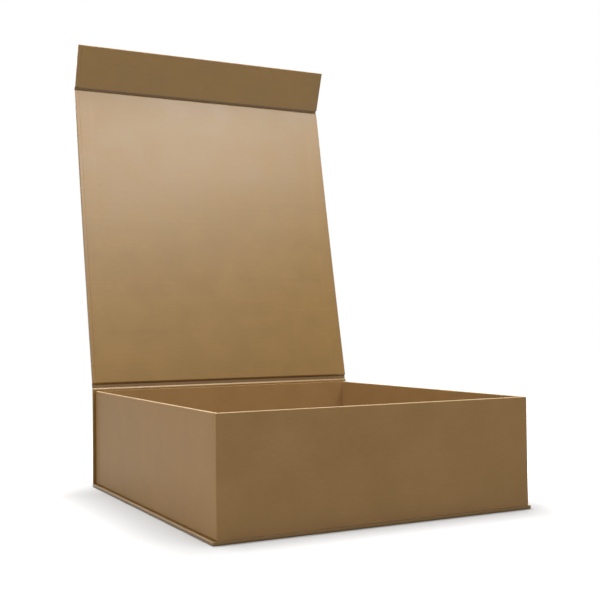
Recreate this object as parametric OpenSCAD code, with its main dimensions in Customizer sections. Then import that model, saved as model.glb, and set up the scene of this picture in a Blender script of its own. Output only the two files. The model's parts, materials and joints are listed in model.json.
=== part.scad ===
// Hamper box of board wrapped in kraft paper: a tray glued into a book-style case,
// whose lid swings on a paper hinge and ends in a front flap with hidden magnets.
// The origin is the middle of the tray's footprint, on the surface that the box stands on.
// +X is the box's right side, +Y its hinge side and +Z up. The lid stands open, as it rests.

/* [Tray] */
// Outside width of the tray
tray_w = 300; // [240:1:420]
// Outside depth of the tray, from its front to its hinge side
tray_d = 330; // [240:1:450]
// Height of the rim above the surface that the box stands on
rim_h = 100; // [80:1:180]

/* [Case] */
// How far the case's boards reach past the tray on each side
overhang = 3; // [2:0.5:8]
// Length of the front flap, from its fold to its free edge
flap_l = 50; // [40:1:75]
// How far the lid is open at rest, counted from closed
lid_angle = 101.3; // [90.5:0.1:120]
// How far the flap is folded in at rest, counted from flat
flap_angle = 30.8; // [1:0.1:50]

/* [Board and paper] */
// Thickness of the greyboard
board_t = 2.5; // [2:0.1:4]
// Thickness of the kraft paper with its glue
paper_t = 0.25; // [0.15:0.05:0.35]
// Width of the paper that is turned in over a board's edge
turn_in = 15; // [10:1:22]
// Bare margin between a panel's edge and the lining paper on it
liner_margin = 4; // [2:0.5:8]
// Distance of the side paper's edge from the tray's corners
seam_in = 5; // [3:0.5:12]

/* [Hinges and clearances] */
// Distance from a hinge line to the board that folds against it
hinge_near = 0.3; // [0.3:0.05:0.6]
// Gap between two boards that are folded to a right angle
fold_gap = 0.35; // [0.3:0.05:1.5]
// Gap between the base board and the spine board
rear_gap = 1; // [0.5:0.1:3]
// Gap between the closed lid and the rim
lid_gap = 0.3; // [0.3:0.05:1]
// Gap between the closed flap and the front wall
flap_gap = 0.3; // [0.3:0.05:1]

/* [Magnets] */
// Distance between the two magnets, centre to centre
magnet_spacing = 150; // [80:1:200]
// Distance of a magnet's centre from the flap's free edge
magnet_edge = 20; // [12:1:28]
// Diameter of the flap's magnets
magnet_d = 15; // [10:0.5:18]
// Thickness of the flap's magnets
magnet_t = 1.5; // [1:0.1:1.7]
// Diameter of the steel discs in the front wall
disc_d = 18; // [12:0.5:22]
// Thickness of the steel discs
disc_t = 1; // [0.5:0.1:1.5]
// Gap around a magnet or disc in its pocket
pocket_gap = 0.2; // [0.1:0.05:0.5]

/* [Hidden] */
$fn = 48;

kraft = "#a8865a";
lining = "#b08e62";
greyboard = "#9b9488";
nickel = "#c4c4c6";

// Thickness of a board with its paper, and of two glued papers in a hinge
panel_t = board_t + 2 * paper_t;
hinge_t = 2 * paper_t;
// Outer radius of the paper where it folds round a board's edge
edge_r = 2.4 * paper_t;
// How far the paper's edge at a corner seam lies behind the side paper over it
seam_step = 0.6 * paper_t;
// Reach of a cut past the solid that it opens
over = 1;

half_w = tray_w / 2;
half_d = tray_d / 2;
case_half_w = half_w + overhang;

// Hinge line of the lid, on the case's outer face at the top of the spine
lid_y = half_d + panel_t;
lid_z = rim_h + lid_gap + panel_t + paper_t;
// Distance from a hinge line to a board edge that stays clear of the board folded at right angles to it
hinge_far = panel_t + paper_t + fold_gap;
// Distance between the hinge lines of the lid and the flap
lid_reach = lid_y + half_d + flap_gap + paper_t + panel_t;
// Near and far edges of each panel of the case, as distances from its own hinge line.
// The flap folds in under the lid's far edge, which stays clear of the doubled paper's bend.
lid_near = hinge_far;
lid_far = lid_reach - hinge_near - hinge_t;
flap_near = hinge_far;
flap_far = hinge_near + flap_l;
spine_near = hinge_near;
spine_far = lid_z - paper_t;
base_near = panel_t + rear_gap;
base_far = tray_d + panel_t;

// Levels of the tray: its underside on the base, its boards, its floor and the lining on the floor
tray_z = panel_t;
wall_z = tray_z + paper_t;
floor_top = wall_z + board_t;
// Distance of the magnets from the flap's hinge line, and their level when the flap is closed
magnet_reach = flap_far - magnet_edge;
disc_z = lid_z - magnet_reach;
// Spare depth of a pocket under the paper
pocket_play = 0.1;

// Box between two values on each axis
module slab(x, y, z)
    translate([x[0], y[0], z[0]])
        cube([x[1] - x[0], y[1] - y[0], z[1] - z[0]]);

// Rectangle from the origin with rounded corners
module soft_rect(w, h, r) {
    translate([r, 0]) square([w - 2 * r, h]);
    translate([0, r]) square([w, h - 2 * r]);
    for (x = [r, w - r], y = [r, h - r])
        translate([x, y]) circle(r);
}

// Bar along X whose edges are rounded
module soft_bar_x(x, y, z, r)
    translate([x[0], y[0], z[0]])
        rotate([90, 0, 90])
            linear_extrude(x[1] - x[0]) soft_rect(y[1] - y[0], z[1] - z[0], r);

// Bar along Y whose edges are rounded
module soft_bar_y(x, y, z, r)
    translate([x[0], y[1], z[0]])
        rotate([90, 0, 0])
            linear_extrude(y[1] - y[0]) soft_rect(x[1] - x[0], z[1] - z[0], r);

// Bar along Z whose edges are rounded
module soft_bar_z(x, y, z, r)
    translate([x[0], y[0], z[0]])
        linear_extrude(z[1] - z[0]) soft_rect(x[1] - x[0], y[1] - y[0], r);

// Frames of the case's panels. In each, the panel runs from its hinge line at y = 0
// towards -Y, with its outer face at z = 0 and its inner face at z = -panel_t.
module in_base() translate([0, lid_y, 0]) rotate([0, 180, 0]) children();
module in_spine() translate([0, lid_y, lid_z]) rotate([90, 0, 180]) children();
module in_lid() translate([0, lid_y, lid_z]) rotate([-lid_angle, 0, 0]) children();
module in_flap() in_lid() translate([0, -lid_reach, 0]) rotate([flap_angle, 0, 0]) children();

// Board of a case panel, inside its paper
module panel_board(near, far)
    slab([paper_t - case_half_w, case_half_w - paper_t],
        [paper_t - far, -near - paper_t],
        [paper_t - panel_t, -paper_t]);

// Paper folded round a case panel's board. On the inner face it covers a margin along
// each side and the widths near_turn and far_turn at the panel's two ends.
module panel_wrap(near, far, near_turn, far_turn)
    difference() {
        intersection() {
            soft_bar_x([-case_half_w, case_half_w], [-far, -near], [-panel_t, 0], edge_r);
            soft_bar_y([-case_half_w, case_half_w], [-far, -near], [-panel_t, 0], edge_r);
        }
        panel_board(near, far);
        slab([turn_in - case_half_w, case_half_w - turn_in],
            [far_turn - far, -near - near_turn],
            [-panel_t - over, -board_t]);
    }

// Lining paper on a case panel's inner face, stepped where it lies over the turned-in paper.
// Its far end stays far_margin short of the panel's edge, over paper turned in by far_turn.
module panel_liner(near, far, far_margin, far_turn) {
    difference() {
        slab([liner_margin - case_half_w, case_half_w - liner_margin],
            [far_margin - far, -near],
            [-panel_t - paper_t, -panel_t]);
        slab([turn_in + paper_t - case_half_w, case_half_w - turn_in - paper_t],
            [far_margin == 0 ? -far - over : far_turn + paper_t - far, over - near],
            [-panel_t - paper_t - over, -panel_t + over]);
    }
    slab([turn_in - case_half_w, case_half_w - turn_in],
        [far_turn - far, -near - paper_t],
        [-panel_t, paper_t - panel_t]);
}

// Two papers glued together across a hinge line: from a panel edge at distance behind,
// to the hinge line at the origin, and on by ahead at the angle turn towards the inner face
module hinge_strip(behind, ahead, turn) {
    along = [-cos(turn), -sin(turn)];
    inward = [sin(turn), -cos(turn)];
    translate([-case_half_w, 0, 0])
        rotate([90, 0, 90])
            linear_extrude(2 * case_half_w)
                polygon([[behind, 0], [0, 0], ahead * along, ahead * along + hinge_t * inward,
                    [hinge_t * tan(turn / 2), -hinge_t], [behind, -hinge_t]]);
}

// Walls of the tray as they are outside, with the paper on them
module tray_shell() {
    outer_x = [-half_w, half_w];
    outer_y = [-half_d, half_d];
    high = [tray_z, rim_h];
    intersection() {
        soft_bar_x(outer_x, outer_y, high, edge_r);
        soft_bar_y(outer_x, outer_y, high, edge_r);
        soft_bar_z(outer_x, outer_y, high, edge_r);
        union() {
            for (side = [0, 1]) {
                mirror([0, side, 0]) rim_bar(half_d, 2 * half_w);
                mirror([side, 0, 0]) rotate(-90) rim_bar(half_w, 2 * half_d);
            }
        }
    }
}

// One wall along X at y = -offset, its rim rounded towards the inside of the tray
module rim_bar(offset, length)
    translate([-length / 2 - over, -offset - over, tray_z - over])
        rotate([90, 0, 90])
            linear_extrude(length + 2 * over) {
                wide = panel_t + over;
                tall = rim_h - tray_z + over;
                square([wide, tall - edge_r]);
                square([wide - edge_r, tall]);
                translate([wide - edge_r, tall - edge_r]) circle(edge_r);
            }

// Greyboard across the width of the tray, at its front
module end_board()
    slab([paper_t - half_w, half_w - paper_t],
        [paper_t - half_d, paper_t + board_t - half_d],
        [wall_z, rim_h - paper_t]);

// Greyboard along the depth of the tray, at its left side and between the end boards
module side_board()
    slab([paper_t - half_w, paper_t + board_t - half_w],
        [paper_t + board_t - half_d, half_d - paper_t - board_t],
        [wall_z, rim_h - paper_t]);

module floor_board()
    slab([paper_t + board_t - half_w, half_w - paper_t - board_t],
        [paper_t + board_t - half_d, half_d - paper_t - board_t],
        [wall_z, floor_top]);

// Strip that the side paper leaves uncovered beside the front-left corner
module corner_seam()
    slab([-half_w - over, seam_step - half_w],
        [-half_d - over, seam_in - half_d],
        [tray_z - over, rim_h + over]);

// Round pocket or magnet in the flap, between two levels of the flap's own frame
module flap_disc(side, d, near_z, far_z)
    translate([side * magnet_spacing / 2, -magnet_reach, near_z])
        cylinder(d = d, h = far_z - near_z);

// Round pocket or disc in the front wall, where the closed flap's magnet comes to lie
module wall_disc(side, d, near_y, far_y)
    translate([side * magnet_spacing / 2, far_y, disc_z])
        rotate([90, 0, 0])
            cylinder(d = d, h = far_y - near_y);

module base_board() color(greyboard) in_base() panel_board(base_near, base_far);

// The base's paper runs on under the spine, where the sheet folds upwards
module base_wrap() color(kraft) in_base() {
    panel_wrap(base_near, base_far, paper_t, turn_in);
    slab([-case_half_w, case_half_w], [-base_near - edge_r, 0], [-paper_t, 0]);
}

module spine_board() color(greyboard) in_spine() panel_board(spine_near, spine_far);

module spine_wrap() color(kraft) in_spine() panel_wrap(spine_near, spine_far, turn_in, paper_t);

module front_wall() color(greyboard) {
    mouth = paper_t - half_d;
    difference() {
        end_board();
        for (side = [-1, 1])
            wall_disc(side, disc_d + 2 * pocket_gap, mouth - over, mouth + disc_t + pocket_play);
    }
}

module back_wall() color(greyboard) mirror([0, 1, 0]) end_board();

module left_wall() color(greyboard) side_board();

module right_wall() color(greyboard) mirror([1, 0, 0]) side_board();

module tray_floor() color(greyboard) floor_board();

module tray_wrap() color(kraft) difference() {
    union() {
        tray_shell();
        slab([edge_r - half_w, half_w - edge_r], [edge_r - half_d, half_d - edge_r], [tray_z, wall_z]);
    }
    for (side = [0, 1]) {
        mirror([0, side, 0]) end_board();
        mirror([side, 0, 0]) side_board();
    }
    floor_board();
    slab([turn_in - half_w, half_w - turn_in], [turn_in - half_d, half_d - turn_in],
        [tray_z - over, wall_z + over]);
    for (x = [0, 1], y = [0, 1])
        mirror([x, 0, 0]) mirror([0, y, 0]) corner_seam();
}

module floor_liner() color(lining)
    slab([panel_t - half_w, half_w - panel_t], [panel_t - half_d, half_d - panel_t],
        [floor_top, floor_top + paper_t]);

module catch_disc(side) color(nickel) {
    back = paper_t - half_d + disc_t + pocket_play;
    wall_disc(side, disc_d, back - disc_t, back);
}

module lid_hinge_paper() color(kraft) translate([0, lid_y, lid_z]) rotate([-90, 0, 0])
    hinge_strip(spine_near, lid_near, 90 - lid_angle);

module lid_board() color(greyboard) in_lid() panel_board(lid_near, lid_far);

module lid_wrap() color(kraft) in_lid() panel_wrap(lid_near, lid_far, paper_t, paper_t);

module lid_liner() color(lining) in_lid() panel_liner(lid_near, lid_far, 0, paper_t);

module flap_hinge_paper() color(kraft) in_lid() translate([0, -lid_reach, 0])
    hinge_strip(lid_reach - lid_far, flap_near, flap_angle);

module flap_board() color(greyboard) in_flap() difference() {
    panel_board(flap_near, flap_far);
    for (side = [-1, 1])
        flap_disc(side, magnet_d + 2 * pocket_gap,
            paper_t - panel_t - over, paper_t - panel_t + magnet_t + pocket_play);
}

module flap_wrap() color(kraft) in_flap() panel_wrap(flap_near, flap_far, paper_t, turn_in);

module flap_liner() color(lining) in_flap() panel_liner(flap_near, flap_far, liner_margin, turn_in);

module flap_magnet(side) color(nickel) in_flap() {
    seat = paper_t - panel_t + magnet_t + pocket_play;
    flap_disc(side, magnet_d, seat - magnet_t, seat);
}

base_board();
base_wrap();
spine_board();
spine_wrap();
front_wall();
back_wall();
left_wall();
right_wall();
tray_floor();
tray_wrap();
floor_liner();
catch_disc(-1);  // catch_disc_left
catch_disc(1);  // catch_disc_right
lid_hinge_paper();
lid_board();
lid_wrap();
lid_liner();
flap_hinge_paper();
flap_board();
flap_wrap();
flap_liner();
flap_magnet(-1);  // flap_magnet_left
flap_magnet(1);  // flap_magnet_right
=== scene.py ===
import json
import random
from contextlib import contextmanager
from math import cos, radians, sin

import bmesh
import bpy
from mathutils import Matrix, Vector


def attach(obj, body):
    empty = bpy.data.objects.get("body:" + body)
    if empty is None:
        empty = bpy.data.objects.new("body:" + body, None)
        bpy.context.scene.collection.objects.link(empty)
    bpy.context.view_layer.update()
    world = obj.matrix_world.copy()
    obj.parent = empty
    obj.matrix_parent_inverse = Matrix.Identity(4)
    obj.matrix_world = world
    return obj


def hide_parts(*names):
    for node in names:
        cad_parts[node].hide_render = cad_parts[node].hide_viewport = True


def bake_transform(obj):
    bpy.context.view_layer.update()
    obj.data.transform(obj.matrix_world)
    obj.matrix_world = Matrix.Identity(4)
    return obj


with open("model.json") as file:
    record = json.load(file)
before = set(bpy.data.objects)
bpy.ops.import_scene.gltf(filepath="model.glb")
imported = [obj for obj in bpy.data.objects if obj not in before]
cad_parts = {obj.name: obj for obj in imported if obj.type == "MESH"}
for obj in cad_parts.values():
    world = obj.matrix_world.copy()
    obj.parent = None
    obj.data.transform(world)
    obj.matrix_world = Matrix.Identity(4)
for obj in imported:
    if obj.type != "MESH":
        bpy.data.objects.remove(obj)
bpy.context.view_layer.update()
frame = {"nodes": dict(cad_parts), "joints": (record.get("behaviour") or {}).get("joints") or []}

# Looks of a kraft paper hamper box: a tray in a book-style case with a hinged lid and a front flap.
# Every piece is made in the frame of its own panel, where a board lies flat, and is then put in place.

MM = 0.001
# Two coordinates closer than this are the same
TOUCH = 0.01 * MM

# Radius of the paper where it is folded round a board's edge
FOLD_R = 0.8 * MM
# Radius at the hinges, where the papers cross a crushed board edge in a soft curve
HINGE_EDGE_R = 1.6 * MM
SPINE_TOP_R = 2.2 * MM
# Radius at the foot of the tray's sides, where the boards' edges are crushed as the paper is drawn under
FOOT_R = 1.6 * MM
# Radius of the back rim, which is pressed sharp, and of edges that are pressed together
SHARP_R = 0.15 * MM
PRESSED_R = 0.35 * MM
# Widest of the radii above
WIDEST_R = SPINE_TOP_R
# Segments in a rounded paper edge
FOLD_STEPS = 4
# Width of the paper that is turned in over a board's edge, and of the side paper's distance from a corner
TURN_IN = 15 * MM
SEAM_IN = 5 * MM
# Step at a corner seam, where the side paper ends over the front or back paper
SEAM_STEP = 0.15 * MM
# Step and slope where the lining lies over the edge of the paper that is turned in
SHOW_THROUGH = 0.12 * MM
RAMP = 3 * MM
# Half of the stretch in which the paper bends at a hinge line
BEND = 0.3 * MM
# Spacing of the cuts that let a panel bow
GRID = 15 * MM
# How far the lid's board has bowed outwards, and how uneven the glued papers are
LID_BOW = 1.2 * MM
UNEVEN = 0.12 * MM
# Play round a steel disc in its pocket
POCKET_GAP = 0.2 * MM
# Height of the painted highlight, a paler band at the top of a fold
PAINTED_HIGHLIGHT_BAND = 0.6 * MM
# Share of a sheet's room that it fills, so that it stays clear of its board
SHEET_SHARE = 0.9
# Faces that meet at less than this angle are shaded as one
SMOOTH_ANGLE = radians(35)

# Light that the white surroundings throw on the box
AMBIENT = 0.02
FLOOR_SIZE = 40
# The floor lies this far below the base, so that the two don't touch
FLOOR_DROP = 0.2 * MM
# The floor goes over from the box's shadow to plain white within this distance of the base. Its glow is
# painted light, weakest round the base moved forwards and to the left, so the shadow shows further there
SHADOW_REACH = 0.14
SHADOW_SHIFT = (-0.02, -0.06, 0)
FLOOR_GLOW = 0.2


def extent(node, panel):
    """Lowest and highest corner of a CAD node in the frame of a panel."""
    back = panel.inverted()
    points = [back @ v.co for v in frame["nodes"][node].data.vertices]
    return (Vector(min(p[i] for p in points) for i in range(3)),
            Vector(max(p[i] for p in points) for i in range(3)))


def joint(name):
    return next(j for j in frame["joints"] if j["name"] == name)


# Hinge lines and the angles by which the lid and the flap are turned from closed and from flat
lid_line = Vector(joint("lid_hinge")["pos_m"])
flap_line = Vector(joint("flap_hinge")["pos_m"])
lid_turn = radians(joint("lid_hinge")["range_deg"][0])
flap_turn = radians(-joint("flap_hinge")["range_deg"][0])

# Frames of the panels: a panel runs from its hinge line towards -Y, its outer face at z = 0
UPRIGHT = Matrix.Identity(4)
LID = Matrix.Translation(lid_line) @ Matrix.Rotation(lid_turn, 4, "X")
FLAP = Matrix.Translation(flap_line) @ Matrix.Rotation(lid_turn + flap_turn, 4, "X")

paper_t = extent("floor_liner", UPRIGHT)[1].z - extent("floor_liner", UPRIGHT)[0].z
panel_t = extent("spine_wrap", UPRIGHT)[1].y - extent("spine_wrap", UPRIGHT)[0].y
hinge_t = 2 * paper_t


@contextmanager
def shaping(piece):
    """Opens a piece in edit mode with nothing selected."""
    bpy.ops.object.select_all(action="DESELECT")
    piece.select_set(True)
    bpy.context.view_layer.objects.active = piece
    bpy.ops.object.mode_set(mode="EDIT")
    bpy.ops.mesh.select_all(action="DESELECT")
    yield
    bpy.ops.object.mode_set(mode="OBJECT")


def pick(kind, test):
    """Selects those faces, edges or verts of the open piece that pass a test, and nothing else."""
    bpy.ops.mesh.select_mode(type={"faces": "FACE", "edges": "EDGE", "verts": "VERT"}[kind])
    bpy.ops.mesh.select_all(action="DESELECT")
    mesh = bmesh.from_edit_mesh(bpy.context.object.data)
    for part in getattr(mesh, kind):
        part.select_set(bool(test(part)))
    mesh.select_flush_mode()
    bmesh.update_edit_mesh(bpy.context.object.data)


def on(part, **at):
    """Whether all corners of a face, edge or vert have the coordinates that are given."""
    corners = getattr(part, "verts", None) or [part]
    return all(abs(getattr(v.co, axis) - value) < TOUCH for v in corners for axis, value in at.items())


def block(name, low, high):
    """Closed block between two corners, as the start of a piece."""
    bpy.ops.object.select_all(action="DESELECT")
    bpy.ops.mesh.primitive_cube_add(size=1, location=(low + high) / 2, scale=high - low)
    bpy.ops.object.transform_apply(location=True, rotation=True, scale=True)
    piece = bpy.context.object
    piece.name = piece.data.name = name
    return piece


def fold(radius, test):
    """Marks the edges of the open piece that pass a test to be rounded."""
    pick("edges", test)
    bpy.ops.transform.edge_bevelweight(value=radius / WIDEST_R)


def bevel_folds(piece):
    """Rounds the marked edges of a piece."""
    modify(piece, "BEVEL", width=WIDEST_R, offset_type="OFFSET", segments=FOLD_STEPS, limit_method="WEIGHT")


def thicken(piece, offset):
    """Makes a sheet of glued paper a little uneven and gives it its thickness."""
    clouds = bpy.data.textures.new("glued_paper", "CLOUDS")
    clouds.noise_scale = 3 * GRID
    modify(piece, "DISPLACE", texture=clouds, texture_coords="LOCAL", strength=UNEVEN / 2, mid_level=1)
    modify(piece, "SOLIDIFY", thickness=paper_t * SHEET_SHARE, offset=offset, use_even_offset=True)


def cut_at(axis, *places):
    """Cuts the open piece at places along an axis."""
    normal = Vector((axis == "x", axis == "y", axis == "z"))
    for place in places:
        bpy.ops.mesh.select_all(action="SELECT")
        bpy.ops.mesh.bisect(plane_co=normal * place, plane_no=normal)


def cut_across(axis, low, high):
    """Cuts the open piece at even steps along an axis."""
    count = max(1, round((high - low) / GRID))
    cut_at(axis, *(low + (high - low) * i / count for i in range(1, count)))


def remove(test):
    """Deletes the faces of the open piece that pass a test."""
    pick("faces", test)
    bpy.ops.mesh.delete(type="FACE")


def modify(piece, kind, **settings):
    """Adds a modifier with its settings and applies it."""
    bpy.context.view_layer.objects.active = piece
    made = piece.modifiers.new(kind, kind)
    for name, value in settings.items():
        setattr(made, name, value)
    bpy.ops.object.modifier_apply(modifier=made.name)


def cage(low, high, axis, bow, seed):
    """Lattice round a panel, whose points bow it along an axis and make it a little uneven."""
    counts = (6, 7, 7)
    bpy.ops.object.select_all(action="DESELECT")
    bpy.ops.object.add(type="LATTICE", location=(low + high) / 2)
    made = bpy.context.object
    made.scale = [side if side > 2 * panel_t else 2 * panel_t for side in high - low]
    lattice = made.data
    lattice.points_u, lattice.points_v, lattice.points_w = (
        2 if i == axis else counts[i] for i in range(3))
    for side in "uvw":
        setattr(lattice, "interpolation_type_" + side, "KEY_CARDINAL")
    drift = random.Random(seed)
    shift = {}
    for point in lattice.points:
        place = list(point.co)
        place[axis] = 0
        key = tuple(round(c, 3) for c in place)
        inside = all(abs(place[i]) < 0.49 for i in range(3) if i != axis)
        if key not in shift:
            along = 1 - 4 * place[1] ** 2
            shift[key] = bow * along + (drift.uniform(-UNEVEN, UNEVEN) if inside else 0)
        moved = point.co.copy()
        moved[axis] += shift[key] / made.scale[axis]
        point.co_deform = moved
    return made


def settle(piece, panel, body, finish, cages=(), nodes=()):
    """Bends a finished mesh with its cages, puts it in place and hands it to its body."""
    for bent in cages:
        modify(piece, "LATTICE", object=bent)
    piece.data.transform(panel)
    with shaping(piece):
        bpy.ops.mesh.select_all(action="SELECT")
        bpy.ops.mesh.remove_doubles(threshold=TOUCH)
        bpy.ops.mesh.normals_make_consistent(inside=False)
    bpy.ops.object.shade_smooth_by_angle(angle=SMOOTH_ANGLE)
    modify(piece, "WEIGHTED_NORMAL", keep_sharp=True)
    piece.data.materials.clear()
    piece.data.materials.append(finish)
    if body:
        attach(piece, body)
    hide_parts(*nodes)
    return piece


def linear(code):
    """sRGB hex colour as the linear colour that a shader takes."""
    parts = [int(code[i:i + 2], 16) / 255 for i in (1, 3, 5)]
    return [c / 12.92 if c <= 0.04045 else ((c + 0.055) / 1.055) ** 2.4 for c in parts] + [1]


def add(tree, kind, settings=None, links=None):
    """Adds a shader node with its settings. A link is a plain value or another node's socket."""
    made = tree.nodes.new("ShaderNode" + kind)
    for name, value in (settings or {}).items():
        setattr(made, name, value)
    for name, value in (links or {}).items():
        if isinstance(value, bpy.types.NodeSocket):
            tree.links.new(value, made.inputs[name])
        else:
            made.inputs[name].default_value = value
    return made


def surface(name):
    """New material with its node tree and the shader of its surface."""
    made = bpy.data.materials.new(name)
    made.use_nodes = True
    return made, made.node_tree, made.node_tree.nodes["Principled BSDF"]


def calc(tree, operation, *values, kind="Math"):
    """Result of a calculation."""
    return add(tree, kind, {"operation": operation}, dict(enumerate(values))).outputs[0]


def ramp(tree, value, low, high, start=0, end=1, curve="LINEAR"):
    """Goes from start to end as a value goes from low to high."""
    return add(tree, "MapRange", {"interpolation_type": curve}, {
        "Value": value, "From Min": low, "From Max": high, "To Min": start, "To Max": end}).outputs[0]


def mix(tree, share, first, second):
    """Goes over from one colour to another with a share from 0 to 1."""
    return add(tree, "Mix", {"data_type": "RGBA"}, {0: share, 6: first, 7: second}).outputs[2]


def sum_of(tree, start, *shares):
    """Adds up noise values, each measured from its middle and taken times its own share."""
    total = start
    for value, share in shares:
        total = calc(tree, "MULTIPLY_ADD", calc(tree, "SUBTRACT", value, 0.5), share, total)
    return total


def noise(tree, place, size, detail):
    """Noise that is the same in all directions, with a size in metres."""
    return add(tree, "TexNoise", None, {"Vector": place, "Scale": 1 / size, "Detail": detail}).outputs["Fac"]


def painted_fold_highlight(tree, place, colour, top, back):
    """Paints a highlight on a fold: fades a colour to a paler, greyer tone just under the height that is
    given and in front of a line at the back, where the rounded top of the fold would catch the light."""
    axes = add(tree, "SeparateXYZ", None, {0: place}).outputs
    lit_band = ramp(tree, axes["Z"], top - PAINTED_HIGHLIGHT_BAND, top - PAINTED_HIGHLIGHT_BAND / 3)
    lit_band = calc(tree, "MULTIPLY", lit_band, ramp(tree, axes["Y"], back - MM, back, 1, 0))
    # The painted highlight is uneven along the fold, about 10 mm at a time
    patches = ramp(tree, noise(tree, place, 10 * MM, 2), 0.3, 0.7, 0.65)
    # The painted highlight is paler and greyer than the paper
    return mix(tree, calc(tree, "MULTIPLY", lit_band, patches), colour, linear("#b39c7b"))


def kraft(name, dark, light, rib_share, gloss, roughness, highlight_to=None):
    """Unbleached kraft paper, calendered on one side and glued down flat. It is a warm brown with
    long soft fibres that run one way, cloudy thick and thin places and a few loose specks. It may get a
    painted highlight on a fold, up to a height and a line at the back."""
    made, tree, shader = surface(name)
    coords = add(tree, "TexCoord")
    place = coords.outputs["Object"]

    def fibres(along, across, turned=False, detail=3):
        """Noise that is drawn out along the run of the paper. Sizes are in metres."""
        scale = (1 / across, 1 / along, 1 / across) if turned else (1 / along, 1 / across, 1 / across)
        run = add(tree, "Mapping", None, {"Vector": place, "Scale": scale})
        return add(tree, "TexNoise", None, {"Vector": run.outputs[0], "Scale": 1, "Detail": detail,
                                            "Roughness": 0.6}).outputs["Fac"]

    # On faces that look along X the run of the paper is along Y, on the others it is along X
    axes = add(tree, "SeparateXYZ", None, {0: coords.outputs["Normal"]}).outputs
    is_side = calc(tree, "GREATER_THAN", calc(tree, "ABSOLUTE", axes["X"]), 0.7)

    def both_runs(along, across):
        return add(tree, "Mix", None, {"Factor": is_side, "A": fibres(along, across),
                                       "B": fibres(along, across, turned=True)}).outputs[0]

    # Kraft fibres are 3 mm long and 0.04 mm wide. They are drawn 0.5 mm wide, as bundles of them show
    long_fibres = both_runs(7 * MM, 0.5 * MM)
    # Bands of the felt and wire, about 3.6 mm apart
    ribs = fibres(400 * MM, 1.8 * MM, detail=1)
    # Thick and thin places are 15 to 40 mm across
    clouds = noise(tree, place, 30 * MM, 3)
    # Grain of the surface, 0.3 mm
    grain = noise(tree, place, 0.6 * MM, 2)
    # Loose bark specks and pale fibre knots, up to 1 mm across and 12 mm apart
    cells = add(tree, "TexVoronoi", None, {"Vector": place, "Scale": 1 / (12 * MM)}).outputs
    which = add(tree, "SeparateXYZ", None, {0: cells["Color"]}).outputs["X"]
    speck = calc(tree, "MULTIPLY", ramp(tree, cells["Distance"], 0.025, 0.05, 1, 0),
                 calc(tree, "SUBTRACT", which, 0.55))

    tone = sum_of(tree, 0.5, (long_fibres, 0.5), (clouds, 0.45), (grain, 0.25), (ribs, rib_share))
    tone = calc(tree, "MULTIPLY_ADD", speck, 0.8, tone)
    colour = mix(tree, tone, linear(dark), linear(light))
    # Painted highlight on a fold, paler and greyer, if a height and a back line are given
    if highlight_to:
        colour = painted_fold_highlight(tree, place, colour, *highlight_to)
    tree.links.new(colour, shader.inputs["Base Color"])
    rough = ramp(tree, clouds, 0, 1, roughness - 0.06, roughness + 0.06)
    tree.links.new(rough, shader.inputs["Roughness"])
    shader.inputs["Specular IOR Level"].default_value = gloss
    relief = sum_of(tree, 0.0, (long_fibres, 0.6), (grain, 0.5), (ribs, rib_share))
    bump = add(tree, "Bump", None, {"Height": relief, "Distance": 0.05 * MM, "Strength": 0.6})
    tree.links.new(bump.outputs[0], shader.inputs["Normal"])
    return made


def greyboard():
    """Recycled greyboard, pressed and cut. It is dull grey with darker and lighter bits of old paper."""
    made, tree, shader = surface("recycled_greyboard")
    place = add(tree, "TexCoord").outputs["Object"]
    bits = noise(tree, place, 1.5 * MM, 4)
    tree.links.new(mix(tree, bits, linear("#7d776c"), linear("#aca598")), shader.inputs["Base Color"])
    bump = add(tree, "Bump", None, {"Height": bits, "Distance": 0.1 * MM, "Strength": 0.5})
    tree.links.new(bump.outputs[0], shader.inputs["Normal"])
    shader.inputs["Roughness"].default_value = 0.85
    return made


def metal(name, shade, roughness):
    """Metal of a magnet or a pressed disc, with the faint tumbling marks of its finish."""
    made, tree, shader = surface(name)
    place = add(tree, "TexCoord").outputs["Object"]
    marks = noise(tree, place, 0.4 * MM, 2)
    rough = ramp(tree, marks, 0, 1, roughness, roughness + 0.15)
    tree.links.new(rough, shader.inputs["Roughness"])
    shader.inputs["Base Color"].default_value = linear(shade)
    shader.inputs["Metallic"].default_value = 1
    return made


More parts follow.
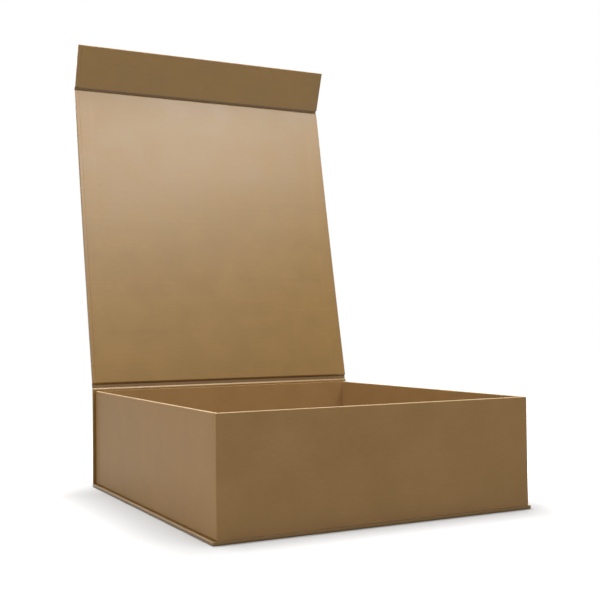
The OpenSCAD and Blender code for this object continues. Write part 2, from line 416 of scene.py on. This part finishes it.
def tray_paper(finish):
    """Paper round the tray's four walls: up the outside, over the rim, down the inside and turned under."""
    low, high = extent("tray_wrap", UPRIGHT)
    floor = extent("tray_floor", UPRIGHT)[1].z
    inner_x, inner_y = high.x - panel_t, high.y - panel_t
    piece = block("tray_paper", low, high)
    with shaping(piece):
        pick("faces", lambda f: on(f, z=high.z))
        bpy.ops.mesh.inset(thickness=panel_t)
        bpy.ops.mesh.extrude_region_move(TRANSFORM_OT_translate={"value": (0, 0, floor - high.z)})
        bpy.ops.mesh.delete(type="FACE")
        pick("faces", lambda f: on(f, z=low.z))
        bpy.ops.mesh.inset(thickness=TURN_IN)
        bpy.ops.mesh.delete(type="FACE")
        fold(FOLD_R, lambda e: any(on(e, x=x, y=y) for x in (low.x, high.x) for y in (low.y, high.y)))
        fold(FOLD_R, lambda e: any(on(e, x=x, z=high.z) for x in (low.x, high.x, -inner_x, inner_x)))
        fold(FOLD_R, lambda e: any(on(e, y=y, z=high.z) for y in (low.y, high.y, -inner_y)))
        fold(SHARP_R, lambda e: on(e, y=inner_y, z=high.z))
        fold(FOOT_R, lambda e: any(on(e, x=x, z=low.z) for x in (low.x, high.x)))
        fold(PRESSED_R, lambda e: any(on(e, y=y, z=low.z) for y in (low.y, high.y)))
        fold(PRESSED_R, lambda e: any(on(e, x=x, y=y) for x in (-inner_x, inner_x)
                                      for y in (-inner_y, inner_y)))
    bevel_folds(piece)
    with shaping(piece):
        for end in (low.y, high.y):
            inward = -1 if end > 0 else 1
            cut_at("y", end + inward * SEAM_IN, end + inward * (SEAM_IN + SEAM_STEP))
            for side in (low.x, high.x):
                outer = lambda v: abs(v.co.x - side) < FOLD_R * 0.1 and abs(v.co.y - end) < SEAM_IN + TOUCH
                pick("verts", lambda v: outer(v) and low.z + FOOT_R + TOUCH < v.co.z < high.z - FOLD_R / 2)
                bpy.ops.transform.translate(value=(-SEAM_STEP if side > 0 else SEAM_STEP, 0, 0))
        for axis in "xyz":
            cut_across(axis, getattr(low, axis), getattr(high, axis))
    thicken(piece, -1)
    settle(piece, UPRIGHT, "tray", finish, nodes=["tray_wrap"])


def case_paper(finish):
    """Outer sheet of the case under the base and up the spine, turned in over their boards' edges."""
    low, high = extent("base_wrap", UPRIGHT)
    spine_low, spine_high = extent("spine_wrap", UPRIGHT)
    piece = block("case_paper", low, Vector((high.x, high.y, panel_t)))
    sides = (low.x, high.x)
    with shaping(piece):
        cut_at("y", spine_low.y)
        pick("faces", lambda f: on(f, z=panel_t) and f.calc_center_median().y > spine_low.y)
        bpy.ops.mesh.extrude_region_move(TRANSFORM_OT_translate={"value": (0, 0, spine_high.z - panel_t)})
        remove(lambda f: on(f, y=spine_low.y) and f.calc_center_median().z < panel_t)
        fold(FOLD_R, lambda e: any(on(e, x=x, z=z) for x in sides for z in (low.z, panel_t, spine_high.z)))
        fold(FOLD_R, lambda e: any(on(e, x=x, y=y) for x in sides for y in (low.y, spine_low.y, high.y)))
        fold(FOLD_R, lambda e: on(e, y=low.y, z=low.z) or on(e, y=high.y, z=low.z))
        fold(PRESSED_R, lambda e: on(e, y=low.y, z=panel_t))
        fold(SPINE_TOP_R, lambda e: on(e, y=spine_low.y, z=spine_high.z))
    bevel_folds(piece)
    with shaping(piece):
        pick("faces", lambda f: on(f, z=panel_t) or on(f, y=spine_low.y))
        bpy.ops.mesh.inset(thickness=TURN_IN - FOLD_R)
        bpy.ops.mesh.delete(type="FACE")
        cut_across("x", low.x, high.x)
        cut_across("y", low.y, high.y)
        cut_across("z", low.z, spine_high.z)
    thicken(piece, -1)
    settle(piece, UPRIGHT, "tray", finish, nodes=["base_wrap", "spine_wrap"])


def panel_paper(name, node, panel, body, finish, inner_r, free_end, cages):
    """Outer sheet on the lid or the flap, folded round its board. Its two ends on the inner face are
    rounded by a radius. At a hinge it runs on flat, and at a free end it is folded over the board."""
    low, high = extent(node, panel)
    sides = (low.x, high.x)
    piece = block(name, low, high)
    with shaping(piece):
        fold(FOLD_R, lambda e: any(on(e, x=x, z=z) for x in sides for z in (low.z, high.z)))
        fold(inner_r, lambda e: on(e, y=low.y, z=low.z) or on(e, y=high.y, z=low.z))
        if free_end:
            fold(FOLD_R, lambda e: on(e, y=low.y, z=high.z) or any(on(e, x=x, y=low.y) for x in sides))
    bevel_folds(piece)
    with shaping(piece):
        pick("faces", lambda f: on(f, z=low.z))
        bpy.ops.mesh.inset(thickness=TURN_IN - FOLD_R)
        bpy.ops.mesh.delete(type="FACE")
        cut_across("x", low.x, high.x)
        cut_across("y", low.y, high.y)
    thicken(piece, -1)
    settle(piece, panel, body, finish, cages, [node])


def lining(name, node, wrap_node, panel, body, finish, over_edges, cages):
    """Lining paper on the inner face of the lid or the flap. It lies lower inside the paper that is
    turned in, and it may go on over the board's two edges at the hinges."""
    low, high = extent(node, panel)
    wrap_low, wrap_high = extent(wrap_node, panel)
    face = wrap_low.z
    leg = panel_t - hinge_t if over_edges else paper_t
    piece = block(name, Vector((low.x, low.y, face)), Vector((high.x, high.y, face + leg)))
    inner_x, inner_y = wrap_high.x - TURN_IN, wrap_low.y + TURN_IN
    with shaping(piece):
        remove(lambda f: on(f, z=face + leg) or on(f, x=low.x) or on(f, x=high.x))
        if over_edges:
            fold(HINGE_EDGE_R, lambda e: on(e, y=low.y, z=face) or on(e, y=high.y, z=face))
        else:
            remove(lambda f: on(f, y=low.y) or on(f, y=high.y))
    bevel_folds(piece)
    with shaping(piece):
        cut_at("x", -inner_x, RAMP - inner_x, inner_x - RAMP, inner_x)
        if not over_edges:
            cut_at("y", inner_y, inner_y + RAMP)
        cut_across("x", low.x, high.x)
        cut_across("y", low.y, high.y)
        pick("verts", lambda v: on(v, z=face) and abs(v.co.x) < inner_x - RAMP + TOUCH
             and (over_edges or v.co.y > inner_y + RAMP - TOUCH))
        bpy.ops.transform.translate(value=(0, 0, SHOW_THROUGH))
    thicken(piece, 1)
    settle(piece, panel, body, finish, cages, [node])


def hinge_paper(name, node, line, start, end, behind, ahead, finish):
    """Outer sheet and lining glued together, as they cross a hinge line. They bend there from the
    angle of the panel behind the line to the angle of the panel ahead of it."""
    half = extent(node, UPRIGHT)[1].x
    piece = block(name, Vector((-half, -ahead, -hinge_t)), Vector((half, behind, 0)))
    rows = [BEND * i / 3 for i in range(-3, 4)]
    with shaping(piece):
        cut_at("y", *rows[1:-1])
        cut_across("x", -half, half)
        for row in rows[:-1] + [-ahead]:
            share = (BEND - max(row, -BEND)) / (2 * BEND)
            pick("verts", lambda v: on(v, y=row))
            bpy.ops.transform.rotate(value=-(end - start) * share * share * (3 - 2 * share), orient_axis="X",
                                     center_override=(0, 0, 0))
    placed = Matrix.Translation(line) @ Matrix.Rotation(start, 4, "X")
    settle(piece, placed, None, finish, nodes=[node])
    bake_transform(piece)


def crushed_board(name, node, panel, body, finish, cages, *folds):
    """Board with some edges crushed round, so that the papers cross them in a soft curve. A fold is a
    radius and a test of the edges that get it."""
    low, high = extent(node, panel)
    piece = block(name, low, high)
    with shaping(piece):
        for radius, edges in folds:
            fold(radius, edges)
    bevel_folds(piece)
    with shaping(piece):
        cut_across("y", low.y, high.y)
        cut_across("x", low.x, high.x)
    return settle(piece, panel, body, finish, cages, [node])


def sink(board, node):
    """Cuts the blind pocket of a steel disc into the outer face of its board."""
    low, high = extent(node, UPRIGHT)
    bpy.ops.object.select_all(action="DESELECT")
    middle = (low + high) / 2
    bpy.ops.mesh.primitive_cylinder_add(vertices=64, radius=(high.x - low.x) / 2 + POCKET_GAP,
                                        depth=2 * panel_t, location=(middle.x, high.y - panel_t, middle.z),
                                        rotation=(radians(90), 0, 0))
    bpy.ops.object.transform_apply(location=True, rotation=True, scale=True)
    cutter = bpy.context.object
    modify(board, "BOOLEAN", object=cutter, operation="DIFFERENCE", solver="EXACT")
    bpy.data.objects.remove(cutter)


def area_lamp(name, place, aim, size, power):
    """Soft white lamp that the camera doesn't see."""
    data = bpy.data.lights.new(name, "AREA")
    data.shape = "RECTANGLE"
    data.size, data.size_y = size
    data.energy = power
    lamp = bpy.data.objects.new(name, data)
    lamp.location = place
    lamp.rotation_euler = (Vector(aim) - Vector(place)).to_track_quat("-Z", "Y").to_euler()
    lamp.visible_camera = False
    bpy.context.scene.collection.objects.link(lamp)


def seen_directly(tree):
    """1 for what the camera sees itself, in gloss or through glass, and 0 for the light that things get."""
    ray = add(tree, "LightPath").outputs
    gloss = calc(tree, "MAXIMUM", ray["Is Camera Ray"], ray["Is Glossy Ray"])
    return calc(tree, "MAXIMUM", gloss, ray["Is Transmission Ray"])


def studio_floor():
    """White paper sweep that the box stands on. It goes over to plain white away from the box's shadow."""
    bpy.ops.object.select_all(action="DESELECT")
    bpy.ops.mesh.primitive_plane_add(size=FLOOR_SIZE, location=(0, 0, -FLOOR_DROP))
    bpy.ops.object.transform_apply(location=True, rotation=True, scale=True)
    sweep = bpy.context.object
    sweep.name = sweep.data.name = "studio_floor"
    made, tree, shader = surface("white_paper_sweep")
    shader.inputs["Base Color"].default_value = linear("#b0b0b0")
    shader.inputs["Roughness"].default_value = 0.9
    shader.inputs["Specular IOR Level"].default_value = 0
    coords = add(tree, "TexCoord").outputs["Object"]

    def off_base(shift):
        """Distance from the base's footprint, as if it were moved by a shift."""
        place = calc(tree, "SUBTRACT", coords, shift, kind="VectorMath")
        place = calc(tree, "ABSOLUTE", place, kind="VectorMath")
        outside = calc(tree, "SUBTRACT", place, extent("base_wrap", UPRIGHT)[1], kind="VectorMath")
        outside = calc(tree, "MAXIMUM", outside, (0, 0, 0), kind="VectorMath")
        return add(tree, "VectorMath", {"operation": "LENGTH"}, {0: outside}).outputs["Value"]

    # Painted light: a glow for the camera that whitens the floor away from the base and keeps the shadow
    # near it
    glow = ramp(tree, off_base(SHADOW_SHIFT), 0, SHADOW_REACH, FLOOR_GLOW, curve="SMOOTHSTEP")
    # Under the base, and within 1 mm of it, the floor doesn't glow
    glow = calc(tree, "MULTIPLY", glow, ramp(tree, off_base((0, 0, 0)), 0, MM))
    strength = calc(tree, "MULTIPLY", glow, seen_directly(tree))
    tree.links.new(strength, shader.inputs["Emission Strength"])
    shader.inputs["Emission Color"].default_value = linear("#ffffff")
    sweep.data.materials.append(made)


def studio_world():
    """White surroundings to the camera and in gloss, and hardly any light of their own on the box."""
    world = bpy.data.worlds.new("studio")
    bpy.context.scene.world = world
    world.use_nodes = True
    tree = world.node_tree
    strength = ramp(tree, seen_directly(tree), 0, 1, AMBIENT)
    back = tree.nodes["Background"]
    back.inputs["Color"].default_value = linear("#ffffff")
    tree.links.new(strength, back.inputs["Strength"])


# The painted highlight on the tray's rim stops in front of the back rim, which lies against the spine
rim = extent("tray_wrap", UPRIGHT)[1]
kraft_tray = kraft("kraft_tray_paper", "#83663f", "#a38157", 0.1, 0.05, 0.45, (rim.z, rim.y - panel_t))
kraft_case = kraft("kraft_case_paper", "#6a4e20", "#87642b", 0.15, 0.53, 0.34)
spine_end = extent("spine_wrap", UPRIGHT)[1]
# The top of the spine gets a painted highlight along its rounded fold
kraft_spine = kraft("kraft_spine_paper", "#6a4e20", "#87642b", 0.15, 0.53, 0.34,
                    (spine_end.z, spine_end.y + MM))
kraft_lining = kraft("kraft_lining_paper", "#694f1f", "#866429", 0.2, 0.52, 0.34)
grey = greyboard()
plate = metal("nickel_plated_magnet", "#c9c6c0", 0.18)
steel = metal("pressed_steel_disc", "#a3a3a3", 0.35)

near_corner, far_corner = extent("lid_wrap", LID)
lid_cage = cage(near_corner, far_corner, 2, LID_BOW, 3)
flap_cage = cage(*extent("flap_wrap", FLAP), 2, 0, 8)

tray_paper(kraft_tray)
case_paper(kraft_spine)
panel_paper("lid_cover", "lid_wrap", LID, "lid", kraft_case, HINGE_EDGE_R, False, [lid_cage])
panel_paper("flap_cover", "flap_wrap", FLAP, "flap", kraft_case, FOLD_R, True, [flap_cage])
lining("lid_lining", "lid_liner", "lid_wrap", LID, "lid", kraft_lining, True, [lid_cage])
lining("flap_lining", "flap_liner", "flap_wrap", FLAP, "flap", kraft_lining, False, [flap_cage])
lid_low, lid_high = extent("lid_board", LID)
crushed_board("lid_greyboard", "lid_board", LID, "lid", grey, [lid_cage],
              (HINGE_EDGE_R, lambda e: on(e, y=lid_low.y, z=lid_low.z) or on(e, y=lid_high.y, z=lid_low.z)))
spine_low, spine_high = extent("spine_board", UPRIGHT)
crushed_board("spine_greyboard", "spine_board", UPRIGHT, "tray", grey, [],
              (SPINE_TOP_R, lambda e: on(e, y=spine_low.y, z=spine_high.z)))
wall_low, wall_high = extent("front_wall", UPRIGHT)
wall_sides, wall_ends = (wall_low.x, wall_high.x), (wall_low.y, -wall_low.y)
for side in ("front", "back", "left", "right"):
    board = crushed_board(side + "_greyboard", side + "_wall", UPRIGHT, "tray", grey, [],
                          (FOOT_R, lambda e: any(on(e, x=x, z=wall_low.z) for x in wall_sides)),
                          (FOLD_R, lambda e: any(on(e, x=x, z=wall_high.z) for x in wall_sides)),
                          (FOLD_R, lambda e: any(on(e, x=x, y=y) for x in wall_sides for y in wall_ends)))
    if side == "front":
        sink(board, "catch_disc_left")
        sink(board, "catch_disc_right")
hinge_paper("lid_hinge_sheet", "lid_hinge_paper", lid_line, radians(-90), lid_turn,
            lid_line.z - spine_end.z, -far_corner.y, kraft_case)
hinge_paper("flap_hinge_sheet", "flap_hinge_paper", flap_line, lid_turn, lid_turn + flap_turn,
            near_corner.y - (LID.inverted() @ flap_line).y, -extent("flap_wrap", FLAP)[1].y,
            kraft_case)
for used in (lid_cage, flap_cage):
    bpy.data.objects.remove(used)

for node, finish in (("base_board", grey), ("tray_floor", grey), ("flap_board", grey),
                     ("floor_liner", kraft_lining), ("catch_disc_left", steel), ("catch_disc_right", steel),
                     ("flap_magnet_left", plate), ("flap_magnet_right", plate)):
    for held in frame["nodes"][node].material_slots:
        held.material = finish

studio_floor()
studio_world()
area_lamp("overhead", (0, 0.02, 1.25), (0, 0, 0.1), (1.15, 0.5), 25)
area_lamp("window", (0.4, -0.8, 1.1), (0, 0.23, 0.4), (0.95, 0.35), 10)
area_lamp("left_window", (-1.05, -0.4, 0.45), (-0.15, -0.05, 0.05), (0.4, 0.4), 4.6)
area_lamp("back_window", (-0.3, 1.5, 0.9), (0, 0.2, 0.2), (0.8, 0.5), 7)

# The photo's camera, as fitted to the box's corners
camera = bpy.data.objects.new("camera", bpy.data.cameras.new("camera"))
bpy.context.scene.collection.objects.link(camera)
camera.data.lens = 59.85
camera.data.sensor_width = 36
pitch, roll, yaw = radians(1.636), radians(-0.684), radians(27.214)
forward = Vector((sin(yaw) * cos(pitch), cos(yaw) * cos(pitch), sin(pitch)))
level = Vector((cos(yaw), -sin(yaw), 0))
rise = level.cross(forward)
right = level * cos(roll) + rise * sin(roll)
up = rise * cos(roll) - level * sin(roll)
turn = Matrix((right, up, -forward)).transposed().to_4x4()
camera.matrix_world = Matrix.Translation((-0.4385, -0.8684, 0.1633)) @ turn
bpy.context.scene.camera = camera
bpy.context.scene.view_settings.view_transform = "Standard"
